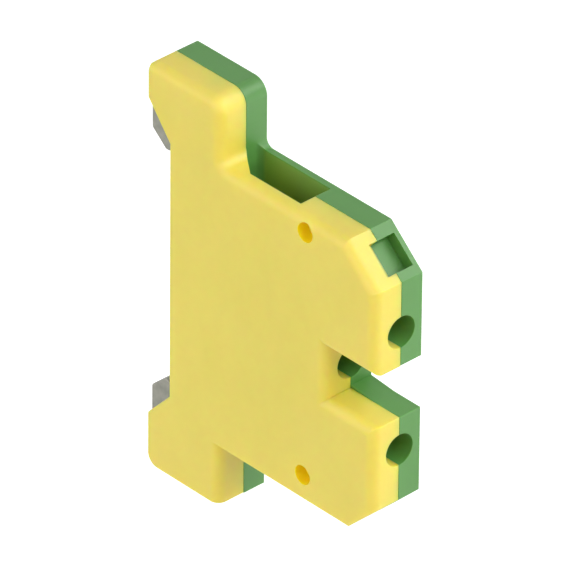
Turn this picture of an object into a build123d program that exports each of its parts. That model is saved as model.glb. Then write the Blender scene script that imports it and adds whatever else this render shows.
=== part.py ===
from build123d import *
import os

os.makedirs("parts", exist_ok=True)

# Earth terminal block for a 35 mm rail, in millimetres.
# +X runs along the rail, the front with the screw holes looks towards -Y, +Z is up.
# The origin is on the flat rail side face, on the seam plane, at the middle of the rail.
# Profiles are drawn in the seam plane: how far forward of the rail side face, then how high.

# Housing outline
yellow_thickness = 3.64
green_thickness = 2.86
body_depth = 30.42
body_top = 15.85
body_bottom = 17.87
hook_front = 7.46
hook_back = 3.28
hook_top = 23.43
foot_bottom = 25.28
hook_tip_height = 19.28
foot_tip_height = 18.99
rail_face_top = 15.2
rail_face_bottom = 15.5
chamfer_depth = 4.65
upper_chamfer_height = 4.14
lower_chamfer_depth = 3.52
lower_chamfer_height = 3.43
hook_corner_radius = 1.8
shoulder_fillet_radius = 0.95
foot_heel_radius = 1.4
hook_heel_bevel = 0.35
tip_radius = 0.2
green_corner_radius = 0.1
yellow_soft_radius = 1.15
yellow_edge_radius = 0.15
green_edge_radius = 0.1
seam_edge = 0.07
edge_reach = 0.1

# Notch between the two lobes
notch_depth = 7.2
notch_top = 1.74
notch_floor = -4.43
ramp_length = 3.4
ramp_height = 0.3

# Side cavities between the two shells
cavity_half_width = 2.05
wire_clamp_height = 5.8
lower_wire_clamp_height = -8.4
clamp_chamber_length = 6.7
clamp_chamber_back = 7.46
clamp_chamber_front = 24.0
pocket_front = 17.72
pocket_slant = 2.84
pocket_corner_radius = 0.75

# Holes for a screwdriver
access_bore_radius = 1.85
rail_bore_radius = 1.9

# Recess for a marking tag in the upper chamfer
tag_length = 3.76
tag_depth = 1.5
tag_offset = 0.14
tag_yellow_reach = 1.19
tag_green_reach = 2.24

# Pegs and round recesses that hold the shells together
peg_radius = 1.0
small_peg_radius = 0.8
peg_length = 1.5
peg_clearance = 0.03
recess_radius = 1.1
recess_depth = 1.4
recess_forward = 20.1
upper_recess_height = 14.2
lower_recess_height = -15.0
hook_peg_forward = 4.0
hook_peg_inset = 1.28

# Running clearances
side_gap = 0.15
slide_gap = 0.3
thread_gap = 0.05

# Screws
thread_radius = 1.25
clamp_head_radius = 1.9
rail_head_radius = 1.8
head_height = 2.2
head_slot_width = 0.6
head_slot_depth = 1.1
head_edge = 0.2

# Contact bar
bar_width = 2.3
bar_centre_width = 3.8
bar_centre_length = 6.6
bar_thickness = 1.6
bar_back = 14.0
bar_end_reach = 3.2
bar_groove_depth = 0.25
bar_groove_pitch = 1.2
bar_groove_count = 4
bar_hole_gap = 0.15

# Wire clamp cages
cage_width = 3.8
cage_length = 6.0
cage_floor_back = 8.6
cage_floor_thickness = 0.9
cage_side_thickness = 0.6
cage_block_back = 16.0
cage_block_thickness = 1.6
cage_corner = 0.3
clamp_travel = 4.0

# Rail foot, a stamped plate with two claws
plate_thickness = 2.04
rail_screw_height = -1.3
strip_back = 2.8
strip_front = 6.0
claw_back = 5.55
claw_front = 2.75
claw_heel = 3.5
upper_nose = 11.8
lower_nose = 16.1
claw_bevel_height = 1.75
neck_width = 2.2
upper_neck_inner = 15.35
lower_neck_inner = 20.25
claw_fillet = 0.5
upper_nose_radius = 0.35
lower_nose_radius = 0.6
foot_float = 3.0
foot_release = 1.2

# Stirrup that draws the foot forward
stirrup_width = 3.8
stirrup_length = 4.4
stirrup_bridge = 0.9
stirrup_block_front = 9.3
stirrup_gap = 0.1

# Rail screw stack
washer_thickness = 0.5
rail_screw_end = 6.6

# Places worked out from the sizes above
bar_front = bar_back + bar_thickness
clamp_heights = (wire_clamp_height, lower_wire_clamp_height)
cage_block_front = cage_block_back + cage_block_thickness
clamp_head_back = cage_block_front + clamp_travel + thread_gap * 2
rail_head_back = bar_front + washer_thickness + thread_gap
chamber_half = clamp_chamber_length / 2
notch_back = body_depth - notch_depth
strip_clearance = plate_thickness / 2 + side_gap


def side_plane(x=0.0):
    """Sketch plane across the block at x, its axes forward and up, its normal along -X."""
    return Plane(origin=(x, 0, 0), x_dir=(0, -1, 0), z_dir=(-1, 0, 0))


def front_plane(forward):
    """Sketch plane that faces the front at a distance forward of the rail side face."""
    return Plane(origin=(0, -forward, 0), x_dir=(1, 0, 0), z_dir=(0, -1, 0))


def outline():
    """The outline that both shells share, as a list of corners."""
    return [
        (-hook_back, hook_top - hook_heel_bevel),
        (-hook_back + hook_heel_bevel, hook_top),
        (hook_front, hook_top),
        (hook_front, body_top),
        (body_depth - chamfer_depth, body_top),
        (body_depth, body_top - upper_chamfer_height),
        (body_depth, notch_top),
        (notch_back, notch_top),
        (notch_back, notch_floor),
        (body_depth, notch_floor),
        (body_depth, -body_bottom + lower_chamfer_height),
        (body_depth - lower_chamfer_depth, -body_bottom),
        (hook_front, -body_bottom),
        (hook_front, -foot_bottom),
        (-hook_back, -foot_bottom),
        (-hook_back, -foot_tip_height),
        (0, -rail_face_bottom),
        (0, rail_face_top),
        (-hook_back, hook_tip_height),
    ]


def at_point(points, forward, height):
    """The corner of a sketch at one place of its plane."""
    return points.sort_by_distance(Vector(forward, height, 0))[0]


def shell_sketch(front_corners=()):
    """The outline with its rounded corners, and the radius of any more front corners."""
    with BuildSketch(side_plane()) as profile:
        with BuildLine():
            Polyline(*outline(), close=True)
        make_face()
        rounds = (
            (hook_front, hook_top, hook_corner_radius),
            (hook_front, body_top, shoulder_fillet_radius),
            (-hook_back, -foot_bottom, foot_heel_radius),
            (-hook_back, hook_tip_height, tip_radius),
            (-hook_back, -foot_tip_height, tip_radius),
        )
        for forward, height, radius in rounds + tuple(front_corners):
            fillet(at_point(profile.vertices(), forward, height), radius)
    return profile.sketch


def box_between(back, front, low, high, half_width):
    """A box cut out of the seam plane on both sides."""
    with BuildPart(mode=Mode.PRIVATE) as block:
        with BuildSketch(side_plane(half_width)):
            with BuildLine():
                Polyline((back, low), (front, low), (front, high), (back, high), close=True)
            make_face()
        extrude(amount=2 * half_width)
    return block.part


def bore_between(back, front, height, radius):
    """A round hole along the depth of the block, centred on the seam plane."""
    with BuildPart(mode=Mode.PRIVATE) as block:
        with BuildSketch(front_plane(back)):
            with Locations((0, height)):
                Circle(radius)
        extrude(amount=front - back)
    return block.part


def wire_pocket(inner, outer):
    """Wire entry seen in plan, from one height to another, with a slanted web on the yellow side."""
    width = cavity_half_width
    with BuildPart(mode=Mode.PRIVATE) as block:
        with BuildSketch(Plane.XY.offset(min(inner, outer))) as plan:
            with BuildLine():
                Polyline(
                    (0, -hook_front),
                    (-width, -hook_front - pocket_slant),
                    (-width, -pocket_front),
                    (width, -pocket_front),
                    (width, -hook_front),
                    close=True,
                )
            make_face()
            fillet(at_point(plan.vertices(), width, -hook_front), pocket_corner_radius)
        extrude(amount=abs(outer - inner))
    return block.part


def hollow():
    """Everything that the two shells leave open between them."""
    beyond = 1.0
    width = cavity_half_width
    solids = []
    # wire clamp chambers, wire entries and the holes to the clamp screws
    for height, mouth in zip(clamp_heights, (body_top, -body_bottom)):
        low, high = height - chamber_half, height + chamber_half
        solids.append(box_between(clamp_chamber_back, clamp_chamber_front, low, high, width))
        inner, outer = (high, mouth + beyond) if mouth > 0 else (low, mouth - beyond)
        solids.append(wire_pocket(inner, outer))
        front = body_depth + beyond
        solids.append(bore_between(clamp_chamber_front, front, height, access_bore_radius))
    # seat of the contact bar between the two clamp chambers
    low, high = lower_wire_clamp_height, wire_clamp_height
    solids.append(box_between(bar_back, bar_front, low, high, bar_centre_width / 2))
    # rail screw: bore in the notch, head chamber and shank channel
    head_chamber_front = rail_head_back + head_height + slide_gap
    front = notch_back + beyond
    solids.append(bore_between(head_chamber_front, front, rail_screw_height, rail_bore_radius))
    low, high = rail_screw_height - width, rail_screw_height + width
    solids.append(box_between(bar_front, head_chamber_front, low, high, width))
    solids.append(bore_between(strip_back, bar_back, rail_screw_height, thread_radius + side_gap))
    # stirrup chamber, open to the rail side
    reach = stirrup_length / 2 + slide_gap
    front = stirrup_block_front + slide_gap
    low, high = rail_screw_height - reach, rail_screw_height + reach
    solids.append(box_between(-beyond, front, low, high, width))
    # channel of the foot's strip and the slots that its necks come out through
    top = upper_neck_inner + neck_width + foot_float + side_gap
    bottom = -lower_neck_inner - neck_width - side_gap
    back = strip_back - foot_release - side_gap
    far = -claw_back - foot_release
    solids.append(box_between(back, strip_front + side_gap, bottom, top, strip_clearance))
    solids.append(box_between(far, strip_back, rail_face_top - beyond, top, strip_clearance))
    solids.append(box_between(far, strip_back, bottom, -rail_face_bottom + beyond, strip_clearance))
    return solids


def tag_recess():
    """The recess for a marking tag, cut square to the upper chamfer."""
    middle_forward = body_depth - chamfer_depth / 2
    middle_height = body_top - upper_chamfer_height / 2
    run = Vector(0, -chamfer_depth, -upper_chamfer_height).normalized()
    out = Vector(0, -upper_chamfer_height, chamfer_depth).normalized()
    centre = Vector(0, -middle_forward, middle_height) + run * tag_offset
    with BuildPart(mode=Mode.PRIVATE) as block:
        with BuildSketch(Plane(origin=centre, x_dir=Vector(1, 0, 0), z_dir=out)):
            with Locations(((tag_green_reach - tag_yellow_reach) / 2, 0)):
                Rectangle(tag_green_reach + tag_yellow_reach, tag_length)
        extrude(amount=tag_depth, both=True)
    return block.part


def peg_places():
    """Forward place, height and radius of each peg."""
    return (
        (recess_forward, upper_recess_height, peg_radius),
        (recess_forward, lower_recess_height, peg_radius),
        (hook_peg_forward, hook_top - hook_peg_inset, small_peg_radius),
        (hook_peg_forward, -foot_bottom + hook_peg_inset, small_peg_radius),
    )


def outer_edges(shell, soft):
    """Edges of the yellow side face: soft ones at the front and on top, crisp ones at the rail and below."""
    found = []
    for edge in shell.faces().sort_by(Axis.X)[0].edges():
        forward, height = -edge.center().Y, edge.center().Z
        on_top = height > hook_top - edge_reach
        on_front = forward > hook_front - hook_corner_radius and height > -body_bottom + lower_chamfer_height
        on_foot = abs(forward - hook_front) < edge_reach and height < -body_bottom - edge_reach
        if (on_top or on_front or on_foot) == soft:
            found.append(edge)
    return found


# Yellow half shell
with BuildPart() as yellow_housing:
    add(extrude(shell_sketch(), amount=yellow_thickness))
    fillet(outer_edges(yellow_housing, soft=True), yellow_soft_radius)
    fillet(outer_edges(yellow_housing, soft=False), yellow_edge_radius)
    chamfer(yellow_housing.faces().sort_by(Axis.X)[-1].edges(), seam_edge)
    for solid in hollow():
        add(solid, mode=Mode.SUBTRACT)
    add(tag_recess(), mode=Mode.SUBTRACT)
    for forward, height, radius in peg_places():
        with BuildSketch(side_plane()):
            with Locations((forward, height)):
                Circle(radius + peg_clearance)
        extrude(amount=peg_length + peg_clearance, mode=Mode.SUBTRACT)
    with BuildSketch(side_plane(-yellow_thickness)):
        with Locations((recess_forward, upper_recess_height), (recess_forward, lower_recess_height)):
            Circle(recess_radius)
    extrude(amount=-recess_depth, mode=Mode.SUBTRACT)
yellow_housing.part.label = "yellow_housing"
export_step(yellow_housing.part, "parts/yellow_housing.step")

# Green half shell
green_corner_heights = (
    body_top - upper_chamfer_height,
    notch_top,
    notch_floor,
    -body_bottom + lower_chamfer_height,
)
green_corners = [(body_depth, height, green_corner_radius) for height in green_corner_heights]
with BuildPart() as green_housing:
    add(extrude(shell_sketch(green_corners), amount=-green_thickness))
    with BuildSketch(side_plane(green_thickness)):
        with BuildLine():
            Polyline(
                (notch_back, notch_floor),
                (notch_back + ramp_length, notch_floor),
                (notch_back, notch_floor + ramp_height),
                close=True,
            )
        make_face()
    extrude(amount=green_thickness)
    fillet(green_housing.faces().sort_by(Axis.X)[-1].edges(), green_edge_radius)
    for solid in hollow():
        add(solid, mode=Mode.SUBTRACT)
    add(tag_recess(), mode=Mode.SUBTRACT)
    for forward, height, radius in peg_places():
        with BuildSketch(side_plane()):
            with Locations((forward, height)):
                Circle(radius)
        extrude(amount=peg_length)
green_housing.part.label = "green_housing"
export_step(green_housing.part, "parts/green_housing.step")

# Contact bar
with BuildPart() as contact_bar:
    span = wire_clamp_height - lower_wire_clamp_height
    with BuildSketch(front_plane(bar_back)):
        with Locations((0, (wire_clamp_height + lower_wire_clamp_height) / 2)):
            Rectangle(bar_width, span + 2 * bar_end_reach)
        with Locations((0, rail_screw_height)):
            Rectangle(bar_centre_width, bar_centre_length)
            Circle(thread_radius + bar_hole_gap, mode=Mode.SUBTRACT)
    extrude(amount=bar_thickness)
    for height in clamp_heights:
        for step in range(bar_groove_count):
            along = height + (step - (bar_groove_count - 1) / 2) * bar_groove_pitch
            with BuildSketch(side_plane(bar_width)):
                with BuildLine():
                    Polyline(
                        (bar_back, along - bar_groove_depth),
                        (bar_back, along + bar_groove_depth),
                        (bar_back + bar_groove_depth, along),
                        close=True,
                    )
                make_face()
            extrude(amount=2 * bar_width, mode=Mode.SUBTRACT)
contact_bar.part.label = "contact_bar"
export_step(contact_bar.part, "parts/contact_bar.step")


def clamp_cage(height):
    """Threaded cage of one wire clamp, open along the wire."""
    with BuildPart(mode=Mode.PRIVATE) as cage:
        with BuildSketch(Plane(origin=(0, 0, height - cage_length / 2), x_dir=(1, 0, 0), z_dir=(0, 0, 1))):
            depth = cage_block_front - cage_floor_back
            with Locations((0, -(cage_block_front + cage_floor_back) / 2)):
                RectangleRounded(cage_width, depth, cage_corner)
            inner_back = cage_floor_back + cage_floor_thickness
            with Locations((0, -(cage_block_back + inner_back) / 2)):
                Rectangle(
                    cage_width - 2 * cage_side_thickness, cage_block_back - inner_back, mode=Mode.SUBTRACT
                )
        extrude(amount=cage_length)
        with BuildSketch(front_plane(cage_block_back)):
            with Locations((0, height)):
                Circle(thread_radius + thread_gap)
        extrude(amount=cage_block_thickness, mode=Mode.SUBTRACT)
    return cage.part


def slotted_screw(head_back, end, height, head_radius):
    """Slotted screw along the depth of the block, its head towards the front."""
    axis = Axis(origin=(0, 0, height), direction=(0, -1, 0))
    head_front = head_back + head_height
    with BuildPart(mode=Mode.PRIVATE) as screw:
        with BuildSketch(side_plane()) as half:
            with BuildLine():
                Polyline(
                    (end, height),
                    (end, height + thread_radius - 2 * head_edge),
                    (end + 2 * head_edge, height + thread_radius),
                    (head_back, height + thread_radius),
                    (head_back, height + head_radius),
                    (head_front - head_edge, height + head_radius),
                    (head_front, height + head_radius - head_edge),
                    (head_front, height),
                    close=True,
                )
            make_face()
        revolve(axis=axis)
        with BuildSketch(front_plane(head_front)):
            with Locations((0, height)):
                Rectangle(2 * head_radius + head_edge, head_slot_width)
        extrude(amount=-head_slot_depth, mode=Mode.SUBTRACT)
    return screw.part


# Wire clamps
for name, height in zip(("upper", "lower"), clamp_heights):
    with BuildPart() as cage:
        add(clamp_cage(height))
    cage.part.label = name + "_clamp_cage"
    export_step(cage.part, "parts/" + name + "_clamp_cage.step")
    with BuildPart() as screw:
        add(slotted_screw(clamp_head_back, bar_front + thread_gap, height, clamp_head_radius))
    screw.part.label = name + "_clamp_screw"
    export_step(screw.part, "parts/" + name + "_clamp_screw.step")

# Rail screw and its washer
with BuildPart() as rail_screw:
    add(slotted_screw(rail_head_back, rail_screw_end, rail_screw_height, rail_head_radius))
rail_screw.part.label = "rail_screw"
export_step(rail_screw.part, "parts/rail_screw.step")

with BuildPart() as rail_screw_washer:
    with BuildSketch(front_plane(bar_front)):
        with Locations((0, rail_screw_height)):
            Circle(rail_head_radius)
            Circle(thread_radius + thread_gap, mode=Mode.SUBTRACT)
    extrude(amount=washer_thickness)
rail_screw_washer.part.label = "rail_screw_washer"
export_step(rail_screw_washer.part, "parts/rail_screw_washer.step")

# Rail foot
with BuildPart() as rail_foot:
    neck_top = upper_neck_inner + neck_width
    neck_bottom = -lower_neck_inner - neck_width
    with BuildSketch(side_plane(plate_thickness / 2)) as profile:
        with BuildLine():
            Polyline(
                (strip_front, neck_top),
                (-claw_back, neck_top),
                (-claw_back, upper_nose + claw_bevel_height),
                (-claw_heel, upper_nose),
                (-claw_front, upper_nose),
                (-claw_front, upper_neck_inner),
                (strip_back, upper_neck_inner),
                (strip_back, -lower_neck_inner),
                (-claw_front, -lower_neck_inner),
                (-claw_front, -lower_nose),
                (-claw_heel, -lower_nose),
                (-claw_back, -lower_nose - claw_bevel_height),
                (-claw_back, neck_bottom),
                (strip_front, neck_bottom),
                close=True,
            )
        make_face()
        rounds = (
            (-claw_back, neck_top, claw_fillet),
            (strip_front, neck_top, claw_fillet),
            (-claw_back, neck_bottom, claw_fillet),
            (strip_front, neck_bottom, claw_fillet),
            (-claw_back, upper_nose + claw_bevel_height, claw_fillet),
            (-claw_back, -lower_nose - claw_bevel_height, claw_fillet),
            (-claw_front, upper_nose, upper_nose_radius),
            (-claw_front, -lower_nose, lower_nose_radius),
            (strip_back, upper_neck_inner, claw_fillet),
            (strip_back, -lower_neck_inner, claw_fillet),
        )
        for forward, height, radius in rounds:
            fillet(at_point(profile.vertices(), forward, height), radius)
    extrude(amount=plate_thickness)
rail_foot.part.label = "rail_foot"
export_step(rail_foot.part, "parts/rail_foot.step")

# Stirrup around the foot's strip
with BuildPart() as foot_stirrup:
    low = rail_screw_height - stirrup_length / 2
    window_back = strip_back - stirrup_gap
    window_front = strip_front + stirrup_gap
    stirrup_back = window_back - stirrup_bridge
    with BuildSketch(Plane(origin=(0, 0, low), x_dir=(1, 0, 0), z_dir=(0, 0, 1))):
        with Locations((0, -(stirrup_back + stirrup_block_front) / 2)):
            RectangleRounded(stirrup_width, stirrup_block_front - stirrup_back, cage_corner)
        with Locations((0, -(window_back + window_front) / 2)):
            Rectangle(plate_thickness + 2 * stirrup_gap, window_front - window_back, mode=Mode.SUBTRACT)
    extrude(amount=stirrup_length)
    with BuildSketch(front_plane(window_front)):
        with Locations((0, rail_screw_height)):
            Circle(thread_radius + thread_gap)
    extrude(amount=stirrup_block_front - window_front, mode=Mode.SUBTRACT)
foot_stirrup.part.label = "foot_stirrup"
export_step(foot_stirrup.part, "parts/foot_stirrup.step")
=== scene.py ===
# %% [markdown]
# Earth terminal block, a lesson in dressing a small moulded part.
# The block is two plastic half shells, one yellow and one green, that hold two screw clamps, a contact bar
# and a steel foot. The foot ties it to a 35 mm rail. Its shape comes finished from the construction model,
# so this lesson is about what a camera sees: the view, soft light, moulded plastic and plated steel.

# %% Load the construction model
import math

import bmesh
import bpy
from mathutils import Matrix, Vector


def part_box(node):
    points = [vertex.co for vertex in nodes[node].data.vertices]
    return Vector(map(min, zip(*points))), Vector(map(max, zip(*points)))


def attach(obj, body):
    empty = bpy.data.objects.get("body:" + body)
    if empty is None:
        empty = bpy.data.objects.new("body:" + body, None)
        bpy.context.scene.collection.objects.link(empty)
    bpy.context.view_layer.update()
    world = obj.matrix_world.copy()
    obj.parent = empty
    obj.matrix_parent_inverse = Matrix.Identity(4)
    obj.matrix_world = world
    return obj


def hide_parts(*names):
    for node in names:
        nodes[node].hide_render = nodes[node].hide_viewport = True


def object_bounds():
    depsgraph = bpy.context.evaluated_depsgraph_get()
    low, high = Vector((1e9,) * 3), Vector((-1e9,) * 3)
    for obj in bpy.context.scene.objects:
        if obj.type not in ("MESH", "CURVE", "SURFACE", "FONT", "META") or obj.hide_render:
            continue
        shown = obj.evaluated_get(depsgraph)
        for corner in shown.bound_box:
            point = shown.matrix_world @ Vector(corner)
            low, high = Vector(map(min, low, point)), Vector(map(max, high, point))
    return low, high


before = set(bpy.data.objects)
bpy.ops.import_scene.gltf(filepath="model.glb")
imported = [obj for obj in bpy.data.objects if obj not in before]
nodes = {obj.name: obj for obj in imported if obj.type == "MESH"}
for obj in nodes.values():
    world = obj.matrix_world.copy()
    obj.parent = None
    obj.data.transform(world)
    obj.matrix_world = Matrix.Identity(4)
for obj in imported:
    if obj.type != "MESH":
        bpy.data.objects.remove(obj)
cad_box = [list(corner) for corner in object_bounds()]
MM = 0.001
print("pieces:", ", ".join(sorted(nodes)))
print("height in mm:", round((cad_box[1][2] - cad_box[0][2]) / MM, 2))

# %% [markdown]
# The photograph was taken from far away with a long lens, so upright edges stay nearly parallel.
# The camera is placed by two angles and a small roll, and by one point of the block whose place in the
# picture is known. The distance follows from the lens: a longer lens stands further back.

# %% Place the camera
PHOTO_SIDE = 570
VIEW_AZIMUTH = math.radians(-42.984)
VIEW_ELEVATION = math.radians(33.257)
VIEW_ROLL = math.radians(0.552)
AIM_POINT = Vector((-0.390, -17.823, 6.290)) * MM
AIM_PIXEL = (312.67, 278.00)
PIXELS_PER_METRE = 9959.4
FOCAL_PIXELS = 10969
SENSOR_WIDTH = 36.0


def photo_camera():
    """A camera that sees the block as the photograph does."""
    level = math.cos(VIEW_ELEVATION)
    flat_back = Vector((math.sin(VIEW_AZIMUTH), -math.cos(VIEW_AZIMUTH), 0))
    back = flat_back * level + Vector((0, 0, math.sin(VIEW_ELEVATION)))
    flat_right = Vector((math.cos(VIEW_AZIMUTH), math.sin(VIEW_AZIMUTH), 0))
    flat_up = flat_right.cross(-back)
    right = flat_right * math.cos(VIEW_ROLL) + flat_up * math.sin(VIEW_ROLL)
    up = flat_up * math.cos(VIEW_ROLL) - flat_right * math.sin(VIEW_ROLL)
    across = (AIM_PIXEL[0] - PHOTO_SIDE / 2) / PIXELS_PER_METRE
    down = (AIM_PIXEL[1] - PHOTO_SIDE / 2) / PIXELS_PER_METRE
    distance = FOCAL_PIXELS / PIXELS_PER_METRE
    data = bpy.data.cameras.new("photo_camera")
    data.sensor_width = SENSOR_WIDTH
    data.lens = FOCAL_PIXELS / PHOTO_SIDE * SENSOR_WIDTH
    camera = bpy.data.objects.new("photo_camera", data)
    place = AIM_POINT - right * across + up * down + back * distance
    turn = Matrix((right, up, back)).transposed().to_4x4()
    camera.matrix_world = Matrix.Translation(place) @ turn
    bpy.context.scene.collection.objects.link(camera)
    return camera


camera = photo_camera()
bpy.context.scene.camera = camera
print("lens in mm:", round(camera.data.lens, 1))

# %% [markdown]
# Plastic and steel are made from nodes. Written node by node, even a short formula is hard to read, so one
# small class wraps a socket and lets it be used in sums, and another holds a material and adds its nodes.


# %% A short way to write materials
class Wire:
    """An output socket of a material, which can be used in sums as a number can."""

    def __init__(self, finish, socket):
        self.finish = finish
        self.socket = socket

    def maths(self, operation, first, second):
        """The result of one Math node."""
        return self.finish.node("ShaderNodeMath", {"operation": operation}, {0: first, 1: second})

    def __add__(self, other):
        return self.maths("ADD", self, other)

    def __radd__(self, other):
        return self.maths("ADD", other, self)

    def __sub__(self, other):
        return self.maths("SUBTRACT", self, other)

    def __rsub__(self, other):
        return self.maths("SUBTRACT", other, self)

    def __mul__(self, other):
        return self.maths("MULTIPLY", self, other)

    def __rmul__(self, other):
        return self.maths("MULTIPLY", other, self)

    def most(self, other):
        """The greater of two wires."""
        return self.maths("MAXIMUM", self, other)


class Finish:
    """A material with one Principled shader, whose fixed values are set on the shader's own sockets."""

    def __init__(self, name, fixed):
        self.material = bpy.data.materials.new(name)
        self.material.use_nodes = True
        self.tree = self.material.node_tree
        self.shader = self.tree.nodes["Principled BSDF"]
        self.place = self.node("ShaderNodeTexCoord", output="Object")
        for socket, value in fixed.items():
            self.shader.inputs[socket].default_value = value

    def node(self, kind, settings=None, inputs=None, output=0):
        """Adds a node: its settings first, then the values or wires of its sockets."""
        node = self.tree.nodes.new(kind)
        for name, value in (settings or {}).items():
            setattr(node, name, value)
        for name, value in (inputs or {}).items():
            self.feed(node.inputs[name], value)
        return Wire(self, node.outputs[output])

    def feed(self, socket, value):
        """Links a wire to a socket, or sets a plain value on it."""
        if isinstance(value, Wire):
            self.tree.links.new(value.socket, socket)
        else:
            socket.default_value = value

    def drive(self, socket, value):
        """Lets a wire decide one of the shader's own sockets."""
        self.feed(self.shader.inputs[socket], value)

    def paint(self, colour):
        """Makes a colour the base colour, and keeps it for the masks that are laid over it."""
        self.colour = colour
        self.drive("Base Color", colour)

    def clouds(self, size, detail=2.0, stretch=(1, 1, 1)):
        """Soft noise from 0 to 1 whose blotches are about size metres across."""
        where = {"Vector": self.place, "Scale": stretch}
        where = self.node("ShaderNodeMapping", {"vector_type": "POINT"}, where)
        inputs = {"Vector": where, "Scale": 1 / size, "Detail": detail, "Roughness": 0.5}
        return self.node("ShaderNodeTexNoise", {"noise_dimensions": "3D"}, inputs)

    def between(self, mask, first, second):
        """The colour first, which may be a wire, that turns to second as mask goes from 0 to 1."""
        start = first if isinstance(first, Wire) else (*first, 1)
        return self.node(
            "ShaderNodeMix",
            {"data_type": "RGBA", "blend_type": "MIX"},
            {"Factor": mask, 6: start, 7: (*second, 1)},
            output=2,
        )

    def stretch_range(self, value, low, high):
        """Value with its part from low to high spread over 0 to 1, and the rest cut off."""
        ends = {"Value": value, "From Min": low, "From Max": high}
        return self.node("ShaderNodeMapRange", {}, ends)

    def bump(self, height, strength, depth):
        """A normal that reads height as a relief of that depth, in metres."""
        relief = {"Height": height, "Strength": strength, "Distance": depth}
        return self.node("ShaderNodeBump", {}, relief)

    def dress(self, *pieces):
        """Gives the pieces this material alone."""
        for piece in pieces:
            piece.data.materials.clear()
            piece.data.materials.append(self.material)


# %% [markdown]
# The shells are moulded in coloured plastic from a spark-eroded tool. That gives a satin surface with a
# grain far finer than a millimetre, and a colour that drifts a little where the melt flowed and cooled.
# Light also runs a little way into such plastic, red light furthest in yellow, and comes out beside where
# it went in. That softens the edges and warms the shade, and subsurface scattering is made for it. One
# function makes both colours: clouds of two sizes shift the tone, and a fine grain carries the bump.

# %% Moulded plastic
MOULDED = {"IOR": 1.5, "Specular IOR Level": 0.46, "Subsurface Weight": 1.0, "Subsurface Scale": 1.0}
SATIN = 0.46
FLOW_SIZE = 8.0 * MM
FLOW_STRETCH = (1, 1, 0.6)
FLOW_SHARE = 0.75
SPECK_SIZE = 1.3 * MM
SPECK_SHEEN = 0.08
GRAIN_SIZE = 0.12 * MM
GRAIN_DEPTH = 0.004 * MM
GRAIN_STRENGTH = 0.35
GRAIN_SHEEN = 0.05
TONE_RANGE = (0.3, 0.7)
MID_TONE = 0.5


def moulded_plastic(name, deep, pale, reach):
    """Plastic that drifts between two tones; reach is how far red, green and blue light run into it."""
    finish = Finish(name, {**MOULDED, "Subsurface Radius": reach})
    flow = finish.clouds(FLOW_SIZE, stretch=FLOW_STRETCH)
    specks = finish.clouds(SPECK_SIZE, detail=3.0)
    tone = finish.stretch_range(flow * FLOW_SHARE + specks * (1 - FLOW_SHARE), *TONE_RANGE)
    finish.paint(finish.between(tone, deep, pale))
    grain = finish.clouds(GRAIN_SIZE, detail=1.0)
    sheen = SPECK_SHEEN * (specks - MID_TONE)
    finish.drive("Roughness", SATIN + sheen + GRAIN_SHEEN * (grain - MID_TONE))
    finish.drive("Normal", finish.bump(grain, GRAIN_STRENGTH, GRAIN_DEPTH))
    return finish


yellow_plastic = moulded_plastic(
    "yellow_plastic",
    deep=(0.762, 0.643, 0.090),
    pale=(0.812, 0.680, 0.112),
    reach=(1.7 * MM, 1.0 * MM, 0.10 * MM),
)
green_plastic = moulded_plastic(
    "green_plastic",
    deep=(0.088, 0.272, 0.054),
    pale=(0.104, 0.302, 0.065),
    reach=(0.35 * MM, 0.45 * MM, 0.2 * MM),
)
yellow_plastic.dress(nodes["yellow_housing"])
green_plastic.dress(nodes["green_housing"])
print("plastics:", yellow_plastic.material.name, green_plastic.material.name)

# %% [markdown]
# Light caught in the yellow shell's two blind round recesses comes out golden, and the green walls of the
# wire pockets take an olive tone from light off the yellow plastic opposite. Both are painted bounce light:
# the base colour turns inside each hollow, by a mask that knows its place. A recess is a distance from an
# axis, seen from the side. A pocket is a box, which is where none of three scaled distances from its centre
# is above 1.

# %% Light caught in hollows, painted into the colour
RECESS_PLACES = ((-20.1 * MM, 14.2 * MM), (-20.1 * MM, -15.0 * MM))
RECESS_RADIUS = 1.1 * MM
RECESS_RIM = 0.03 * MM
# Painted bounce light: the golden colour painted on the recess floors
PAINTED_RECESS_BOUNCE = (0.98, 0.76, 0.012)
POCKET_HALF_WIDTH = 2.21 * MM
POCKET_FRONT, POCKET_BACK = -18.1 * MM, -7.8 * MM
POCKET_HEIGHTS = ((9.15 * MM, 15.85 * MM), (-17.87 * MM, -11.75 * MM))
POCKET_FADE = 0.93
# Painted bounce light: the olive painted on the pocket walls, for light off the yellow shell
PAINTED_POCKET_BOUNCE = (0.190, 0.362, 0.066)


def paint_recess_bounce_light(finish):
    """Paints golden bounce light into the colour inside the recesses, whose axes run along X."""
    flat = {0: finish.place, 1: (0, 1, 1)}
    side_view = finish.node("ShaderNodeVectorMath", {"operation": "MULTIPLY"}, flat)
    for y, z in RECESS_PLACES:
        ends = {0: side_view, 1: (0, y, z)}
        away = finish.node("ShaderNodeVectorMath", {"operation": "DISTANCE"}, ends, output=1)
        inside = finish.stretch_range(away, RECESS_RADIUS + RECESS_RIM, RECESS_RADIUS)
        # paints the golden bounce light into the base colour inside this recess
        finish.paint(finish.between(inside, finish.colour, PAINTED_RECESS_BOUNCE))


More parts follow.
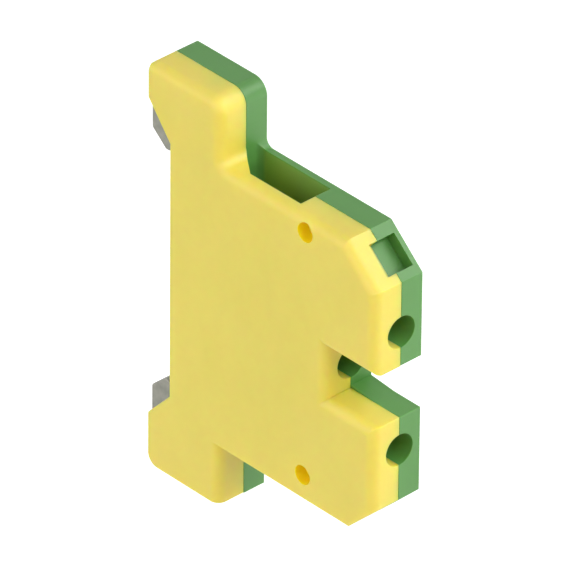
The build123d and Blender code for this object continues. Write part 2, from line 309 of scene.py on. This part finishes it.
def paint_pocket_bounce_light(finish):
    """Paints olive bounce light from the yellow shell into the colour inside the two wire pockets."""
    for low, high in POCKET_HEIGHTS:
        centre = (0, (POCKET_FRONT + POCKET_BACK) / 2, (low + high) / 2)
        half = (POCKET_HALF_WIDTH, (POCKET_BACK - POCKET_FRONT) / 2, (high - low) / 2)
        away = finish.node("ShaderNodeVectorMath", {"operation": "SUBTRACT"}, {0: finish.place, 1: centre})
        away = finish.node("ShaderNodeVectorMath", {"operation": "DIVIDE"}, {0: away, 1: half})
        away = finish.node("ShaderNodeVectorMath", {"operation": "ABSOLUTE"}, {0: away})
        x, y, z = (finish.node("ShaderNodeSeparateXYZ", {}, {0: away}, output=axis) for axis in range(3))
        inside = finish.stretch_range(x.most(y).most(z), 1.0, POCKET_FADE)
        # paints the olive bounce light into the base colour inside this pocket
        finish.paint(finish.between(inside, finish.colour, PAINTED_POCKET_BOUNCE))


# painted bounce light in the yellow recesses and in the green pockets
paint_recess_bounce_light(yellow_plastic)
paint_pocket_bounce_light(green_plastic)
# counts the hollows whose colour carries painted bounce light
print("hollows with painted bounce light:", len(RECESS_PLACES) + len(POCKET_HEIGHTS))

# %% [markdown]
# The foot, stirrup, cages, screws and washer are steel with a thin zinc coat: a grey metal with a soft
# shine, drawn into faint lines by rolling and stamping. The contact bar is tinned brass, warmer and
# brighter. The nodes are dressed here, and the foot and the screws when their own pieces are made.

# %% Plated metals
PLATING_SIZE = 0.9 * MM
PLATING_SHEEN = 0.16
ROLLING_SIZE = 0.5 * MM
ROLLING_DEPTH = 0.006 * MM
ROLLING_STRENGTH = 0.3
ROLLING_SHEEN = 0.1


def plated_metal(name, deep, pale, rough, along):
    """Satin metal with cloudy plating, and faint lines across the direction that along stretches."""
    finish = Finish(name, {"Metallic": 1.0})
    plating = finish.clouds(PLATING_SIZE, detail=3.0)
    lines = finish.clouds(ROLLING_SIZE, stretch=along)
    finish.paint(finish.between(finish.stretch_range(plating, *TONE_RANGE), deep, pale))
    sheen = PLATING_SHEEN * (plating - MID_TONE)
    finish.drive("Roughness", rough + sheen + ROLLING_SHEEN * (lines - MID_TONE))
    finish.drive("Normal", finish.bump(lines, ROLLING_STRENGTH, ROLLING_DEPTH))
    return finish


zinc_steel = plated_metal(
    "zinc_steel",
    deep=(0.185, 0.188, 0.160),
    pale=(0.25, 0.247, 0.210),
    rough=0.38,
    along=(1, 3, 0.3),
)
tinned_brass = plated_metal(
    "tinned_brass",
    deep=(0.62, 0.57, 0.44),
    pale=(0.70, 0.65, 0.52),
    rough=0.32,
    along=(3, 3, 0.3),
)
STEEL_NODES = ("upper_clamp_cage", "lower_clamp_cage", "rail_screw_washer", "foot_stirrup")
zinc_steel.dress(*(nodes[name] for name in STEEL_NODES))
tinned_brass.dress(nodes["contact_bar"])
print("metals:", zinc_steel.material.name, tinned_brass.material.name)

# %% [markdown]
# Two small helpers serve every piece that is made from here on.

# %% Helpers for all new pieces


def link(name, mesh):
    """A new object with this mesh, in the scene."""
    thing = bpy.data.objects.new(name, mesh)
    bpy.context.scene.collection.objects.link(thing)
    return thing


def settle(thing):
    """Turns what the modifiers of a thing make into its own plain mesh."""
    bpy.context.view_layer.update()
    seen = thing.evaluated_get(bpy.context.evaluated_depsgraph_get())
    mesh = bpy.data.meshes.new_from_object(seen)
    thing.modifiers.clear()
    thing.data = mesh
    return thing


# %% [markdown]
# The foot is stamped from steel sheet, so every edge that the press left is a little round, and that thin
# round edge is what catches the light. The construction model has sharp edges, and its meshes are loose
# triangles. So a copy of the foot's mesh is closed up, given narrow bevels, and stands for the node.

# %% The stamped foot
STAMPED_EDGE = 0.14 * MM
EDGE_STEPS = 3
SHARP_FROM = math.radians(40)
WELD_WITHIN = 0.001 * MM
FLAT_WITHIN = math.radians(1)


def stamped(node, body):
    """A copy of a sheet steel piece with its sharp edges rounded."""
    mesh = nodes[node].data.copy()
    shape = bmesh.new()
    shape.from_mesh(mesh)
    bmesh.ops.remove_doubles(shape, verts=shape.verts, dist=WELD_WITHIN)
    bmesh.ops.dissolve_limit(shape, angle_limit=FLAT_WITHIN, verts=shape.verts, edges=shape.edges)
    shape.to_mesh(mesh)
    shape.free()
    piece = link(node + "_stamped", mesh)
    bevel = piece.modifiers.new("round_edges", "BEVEL")
    bevel.width, bevel.segments, bevel.angle_limit = STAMPED_EDGE, EDGE_STEPS, SHARP_FROM
    settle(piece)
    zinc_steel.dress(piece)
    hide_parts(node)
    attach(piece, body)
    return piece


foot = stamped("rail_foot", "foot")
print("foot faces:", len(foot.data.polygons))

# %% [markdown]
# The three screws are plain rods in the construction model. Real ones carry a thread, a shape that
# follows a rule: the radius rises and falls with the turn round the axis and the way along it. Geometry
# Nodes move the points of a fine cylinder by that rule, which is cleaner than winding a ridge round it.

# %% A tree of nodes that cuts a thread
THREAD_RADIUS = 1.25 * MM
THREAD_PITCH = 0.45 * MM
THREAD_DEPTH = 0.26 * MM
THREAD_FADE = 0.4 * MM
POINTS_AROUND = 36
POINTS_PER_TURN = 9


def thread_tree():
    """Geometry nodes: a threaded rod of any length along Z, its middle at the origin."""
    tree = bpy.data.node_groups.new("threaded_rod", "GeometryNodeTree")
    face = tree.interface
    face.new_socket("Geometry", in_out="OUTPUT", socket_type="NodeSocketGeometry")
    for name in ("Length", "Radius", "Pitch", "Depth", "Fade"):
        face.new_socket(name, in_out="INPUT", socket_type="NodeSocketFloat")
    for name in ("Around", "Along"):
        face.new_socket(name, in_out="INPUT", socket_type="NodeSocketInt")
    face.new_socket("Material", in_out="INPUT", socket_type="NodeSocketMaterial")
    given = tree.nodes.new("NodeGroupInput").outputs

    def add(kind, settings, inputs):
        node = tree.nodes.new(kind)
        for name, value in settings.items():
            setattr(node, name, value)
        for name, value in inputs.items():
            if isinstance(value, bpy.types.NodeSocket):
                tree.links.new(value, node.inputs[name])
            else:
                node.inputs[name].default_value = value
        return node.outputs

    def sum_of(operation, first, second=0.0):
        return add("ShaderNodeMath", {"operation": operation}, {0: first, 1: second})[0]

    rod_inputs = {"Vertices": given["Around"], "Side Segments": given["Along"]}
    rod_inputs.update({"Radius": given["Radius"], "Depth": given["Length"]})
    rod = add("GeometryNodeMeshCylinder", {}, rod_inputs)["Mesh"]
    x, y, z = add("ShaderNodeSeparateXYZ", {}, {0: add("GeometryNodeInputPosition", {}, {})[0]})
    turn = sum_of("DIVIDE", sum_of("ARCTAN2", y, x), 2 * math.pi)
    phase = sum_of("FRACT", sum_of("SUBTRACT", sum_of("DIVIDE", z, given["Pitch"]), turn))
    ridge = sum_of("ABSOLUTE", sum_of("SUBTRACT", sum_of("MULTIPLY", phase, 2.0), 1.0))
    half = sum_of("MULTIPLY", given["Length"], 0.5)
    to_end = sum_of("DIVIDE", sum_of("SUBTRACT", half, sum_of("ABSOLUTE", z)), given["Fade"])
    cut = sum_of("MULTIPLY", sum_of("SUBTRACT", 1.0, ridge), sum_of("MINIMUM", to_end, 1.0))
    share = sum_of("DIVIDE", sum_of("MULTIPLY", cut, given["Depth"]), given["Radius"])
    keep = sum_of("SUBTRACT", 1.0, share)
    near_x, near_y = sum_of("MULTIPLY", x, keep), sum_of("MULTIPLY", y, keep)
    moved = add("ShaderNodeCombineXYZ", {}, {0: near_x, 1: near_y, 2: z})[0]
    shaped = add("GeometryNodeSetPosition", {}, {"Geometry": rod, "Position": moved})[0]
    real = add("GeometryNodeRealizeInstances", {}, {"Geometry": shaped})[0]
    dressed = add("GeometryNodeSetMaterial", {}, {"Geometry": real, "Material": given["Material"]})[0]
    tree.links.new(dressed, tree.nodes.new("NodeGroupOutput").inputs["Geometry"])
    return tree


THREADED_ROD = thread_tree()
print("thread nodes:", len(THREADED_ROD.nodes))

# %% [markdown]
# A modifier runs the tree. Its inputs are set by their identifiers, and the evaluated result becomes a
# plain mesh. The head is a turned disc with a softened edge and a sawn slot, made with two booleans.

# %% Helpers for solid pieces
TURNED_STEPS = 64


def threaded_rod(name, length, material):
    """A threaded rod along Z, its middle at the origin."""
    rod = link(name, bpy.data.meshes.new(name))
    modifier = rod.modifiers.new("thread", "NODES")
    modifier.node_group = THREADED_ROD
    values = {
        "Length": length,
        "Radius": THREAD_RADIUS,
        "Pitch": THREAD_PITCH,
        "Depth": THREAD_DEPTH,
        "Fade": THREAD_FADE,
        "Around": POINTS_AROUND,
        "Along": round(length / THREAD_PITCH * POINTS_PER_TURN),
        "Material": material,
    }
    for item in THREADED_ROD.interface.items_tree:
        if item.in_out == "INPUT":
            modifier[item.identifier] = values[item.name]
    return settle(rod)


def turned(name, profile):
    """A solid turned about Z from (radius, height) pairs that start and end on the axis."""
    around = TURNED_STEPS
    points, faces = [], []
    for radius, height in profile[1:-1]:
        for step in range(around):
            angle = 2 * math.pi * step / around
            points.append((radius * math.cos(angle), radius * math.sin(angle), height))
    rings = len(profile) - 2
    for ring in range(rings - 1):
        for step in range(around):
            after = (step + 1) % around
            low, high = ring * around, (ring + 1) * around
            faces.append((low + step, low + after, high + after, high + step))
    bottom, top = len(points), len(points) + 1
    points += [(0, 0, profile[0][1]), (0, 0, profile[-1][1])]
    last = (rings - 1) * around
    for step in range(around):
        after = (step + 1) % around
        faces += [(bottom, after, step), (top, last + step, last + after)]
    mesh = bpy.data.meshes.new(name)
    mesh.from_pydata(points, [], faces)
    return link(name, mesh)


def block(name, low, high):
    """A box between two corners."""
    along_x, along_y, along_z = zip(low, high)
    points = [(x, y, z) for x in along_x for y in along_y for z in along_z]
    faces = [(0, 1, 3, 2), (4, 6, 7, 5), (0, 4, 5, 1), (2, 3, 7, 6), (0, 2, 6, 4), (1, 5, 7, 3)]
    mesh = bpy.data.meshes.new(name)
    mesh.from_pydata(points, [], faces)
    return link(name, mesh)


def combine(thing, other, operation):
    """Joins another solid to a thing, or cuts it out, and removes the other."""
    modifier = thing.modifiers.new(operation, "BOOLEAN")
    modifier.operation, modifier.object, modifier.solver = operation, other, "EXACT"
    settle(thing)
    bpy.data.objects.remove(other)
    return thing


# %% [markdown]
# Each screw takes its place and its sizes from the rod that it stands for, and rides on the same body. Only
# the head's height, its slot and the softened edges are sizes of its own. The bends are where the profile
# passes between the ends of a rounded edge, and between the rim and the middle of the low crown.

# %% Slotted screws
HEAD_HEIGHT = 2.2 * MM
HEAD_EDGE = 0.2 * MM
EDGE_BEND = 0.3
HEAD_CROWN = 0.08 * MM
CROWN_BEND = (0.5, 0.25)
SLOT_WIDTH = 0.6 * MM
SLOT_DEPTH = 1.1 * MM
OVERLAP = 0.2 * MM
BORE_FACING = Matrix.Rotation(math.radians(90), 4, "X")


def slotted_screw(node, body):
    """A threaded, slotted screw that stands for one rod of the construction model."""
    low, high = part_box(node)
    middle = (low + high) / 2
    radius = (high.x - low.x) / 2
    shank = high.y - low.y - HEAD_HEIGHT
    name = node + "_threaded"
    profile = [
        (0, 0),
        (radius - HEAD_EDGE / 2, 0),
        (radius, HEAD_EDGE / 2),
        (radius, HEAD_HEIGHT - HEAD_CROWN - HEAD_EDGE),
        (radius - HEAD_EDGE * EDGE_BEND, HEAD_HEIGHT - HEAD_CROWN - HEAD_EDGE * EDGE_BEND),
        (radius - HEAD_EDGE, HEAD_HEIGHT - HEAD_CROWN),
        (radius * CROWN_BEND[0], HEAD_HEIGHT - HEAD_CROWN * CROWN_BEND[1]),
        (0, HEAD_HEIGHT),
    ]
    screw = turned(name, profile)
    rod = threaded_rod(name + "_rod", shank + OVERLAP, zinc_steel.material)
    rod.data.transform(Matrix.Translation((0, 0, (OVERLAP - shank) / 2)))
    combine(screw, rod, "UNION")
    reach, half = radius + HEAD_EDGE, SLOT_WIDTH / 2
    slot = block("slot", (-reach, -half, HEAD_HEIGHT - SLOT_DEPTH), (reach, half, HEAD_HEIGHT * 2))
    combine(screw, slot, "DIFFERENCE")
    head_back = low.y + HEAD_HEIGHT
    screw.data.transform(Matrix.Translation((middle.x, head_back, middle.z)) @ BORE_FACING)
    for face in screw.data.polygons:
        face.use_smooth = False
    zinc_steel.dress(screw)
    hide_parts(node)
    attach(screw, body)
    print(name, "faces:", len(screw.data.polygons))
    return screw


SCREW_BODIES = {
    "upper_clamp_screw": "upper_screw",
    "lower_clamp_screw": "lower_screw",
    "rail_screw": "rail_screw",
}
for node, body in SCREW_BODIES.items():
    slotted_screw(node, body)

# %% [markdown]
# The photograph has a pure white ground with no shadow near the block, which is how a part looks that hangs
# in the air above a white table. So the floor lies well below the block. Rays from the camera, and those
# that metal mirrors, see it as white paper with the shadow still on it; all others see plain pale paint.
# The paper glows less near the block, where the lamps light it as well, and fully further out.

# %% Floor and surroundings
FLOOR_DROP = 90 * MM
FLOOR_SIDE = 40.0
FLOOR_TONE = (0.8, 0.8, 0.8)
NEAR, FAR = 0.15, 0.7
NEAR_GLOW, FULL_GLOW = 0.65, 1.0
AMBIENT = 0.02
MIRRORED_RAYS = ("Is Glossy Ray", "Is Transmission Ray")


def white_ground():
    """A pale floor that the camera sees as white paper."""
    mesh = bpy.data.meshes.new("floor")
    half, height = FLOOR_SIDE / 2, cad_box[0][2] - FLOOR_DROP
    corners = [(-half, -half), (half, -half), (half, half), (-half, half)]
    mesh.from_pydata([(x, y, height) for x, y in corners], [], [(0, 1, 2, 3)])
    floor = link("floor", mesh)
    matt = {"Base Color": (*FLOOR_TONE, 1), "Roughness": 0.9, "Specular IOR Level": 0.1}
    paint = Finish("floor_paint", {**matt, "Emission Strength": 1.0})
    rays = paint.node("ShaderNodeLightPath").socket.node.outputs
    seen = Wire(paint, rays["Is Camera Ray"])
    for kind in MIRRORED_RAYS:
        seen = seen + Wire(paint, rays[kind])
    distance = paint.node("ShaderNodeVectorMath", {"operation": "LENGTH"}, {0: paint.place}, output=1)
    glow = paint.node(
        "ShaderNodeMapRange",
        {"interpolation_type": "SMOOTHSTEP"},
        {"Value": distance, "From Min": NEAR, "From Max": FAR, "To Min": NEAR_GLOW, "To Max": FULL_GLOW},
    )
    paint.drive("Emission Color", seen * glow)
    paint.dress(floor)


def white_world():
    """Faint even light from all round, and plain white where the camera or a mirror sees nothing."""
    world = bpy.data.worlds.new("surroundings")
    bpy.context.scene.world = world
    world.use_nodes = True
    tree = world.node_tree
    ground = tree.nodes["Background"]
    ground.inputs["Color"].default_value = (1, 1, 1, 1)
    rays = tree.nodes.new("ShaderNodeLightPath").outputs
    seen = rays["Is Camera Ray"]
    for kind in MIRRORED_RAYS:
        either = tree.nodes.new("ShaderNodeMath")
        either.operation = "MAXIMUM"
        tree.links.new(seen, either.inputs[0])
        tree.links.new(rays[kind], either.inputs[1])
        seen = either.outputs[0]
    strength = tree.nodes.new("ShaderNodeMapRange")
    strength.inputs["To Min"].default_value = AMBIENT
    strength.inputs["To Max"].default_value = 1.0
    tree.links.new(seen, strength.inputs["Value"])
    tree.links.new(strength.outputs["Result"], ground.inputs["Strength"])


white_ground()
white_world()
print("floor below the block in mm:", round(FLOOR_DROP / MM, 1))

# %% [markdown]
# Five soft boxes light the block. The strongest stands in front and above, and makes the faces with the
# screw holes the brightest. Two stand on the yellow side, one of them further back, and light the large
# flat face evenly. A smaller one high on the right lights the tops, and a faint low one lightens the bores.
# All are square and large beside the block, so that shadows stay soft and plastic shows no hard spots.

# %% Lamps
BLOCK_MIDDLE = Vector((0, -13 * MM, 0))
# Each lamp's direction from the block, its distance and side in metres, and its strength in watts
LAMPS = {
    "front_box": ((0.1, -1.0, 0.8), 0.60, 0.50, 3.0),
    "left_box": ((-1.0, -0.2, 0.5), 0.60, 0.50, 1.3),
    "rear_left_box": ((-1.0, 0.6, 0.3), 0.60, 0.50, 1.75),
    "right_box": ((0.57, -0.45, 0.69), 0.60, 0.30, 1.35),
    "low_box": ((0.6, -0.65, -0.12), 0.30, 0.16, 0.14),
}


def soft_box(name, direction, distance, side, watts):
    """A square lamp that looks at the middle of the block."""
    data = bpy.data.lights.new(name, "AREA")
    data.shape, data.size, data.energy = "SQUARE", side, watts
    lamp = bpy.data.objects.new(name, data)
    away = Vector(direction).normalized()
    lamp.location = BLOCK_MIDDLE + away * distance
    lamp.rotation_mode = "QUATERNION"
    lamp.rotation_quaternion = away.to_track_quat("Z", "Y")
    bpy.context.scene.collection.objects.link(lamp)


for name, places in LAMPS.items():
    soft_box(name, *places)
print("lamps:", ", ".join(LAMPS))

# %% [markdown]
# Last come the colour view and the sizes. The Standard view shows a colour about as it is written. The box
# of the construction model is printed.

# %% Colour view and the size list
bpy.context.scene.view_settings.view_transform = "Standard"
print("cad box:", cad_box)
